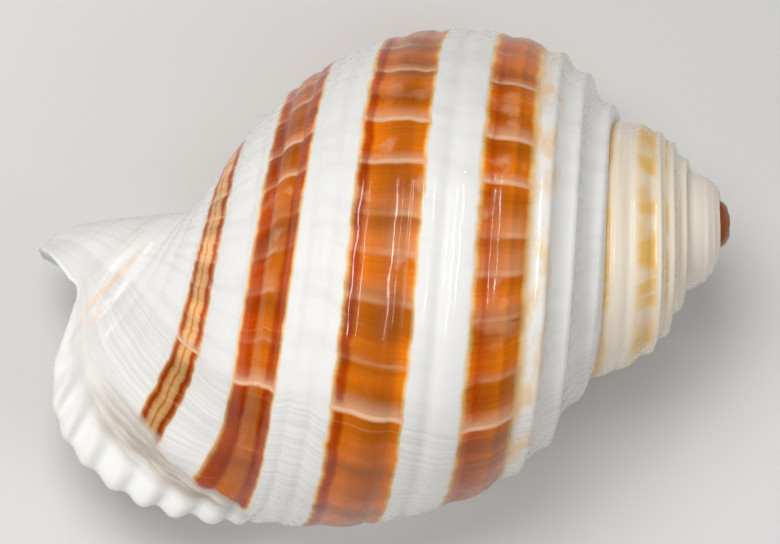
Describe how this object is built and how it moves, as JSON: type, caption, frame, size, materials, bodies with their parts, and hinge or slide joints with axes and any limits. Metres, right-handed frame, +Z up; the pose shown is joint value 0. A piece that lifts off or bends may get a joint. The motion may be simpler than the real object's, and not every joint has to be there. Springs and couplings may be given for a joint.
{
  "type": "tun shell",
  "caption": "Sea snail shell of the tun family: globose whorls with low spiral cords, short spire, wide open aperture with an outturned scalloped lip, short canal; lies on its aperture.",
  "frame": {"origin": "centre of the shell's bounding box in X and Y, on the table it lies on in Z", "axes": "+Z up with the aperture facing down; the coiling axis runs along X with the apex toward +X and the canal toward -X, dipping about 9 degrees to the canal; the outer lip is on the -Y side"},
  "size_m": [0.1072, 0.0762, 0.0629],
  "materials": {
    "shell": "glossy porcelain-like calcium carbonate, white with orange-brown spiral bands on the last whorl"
  },
  "bodies": {
    "root": {"shell": "shell"}
  },
  "joints": []
}
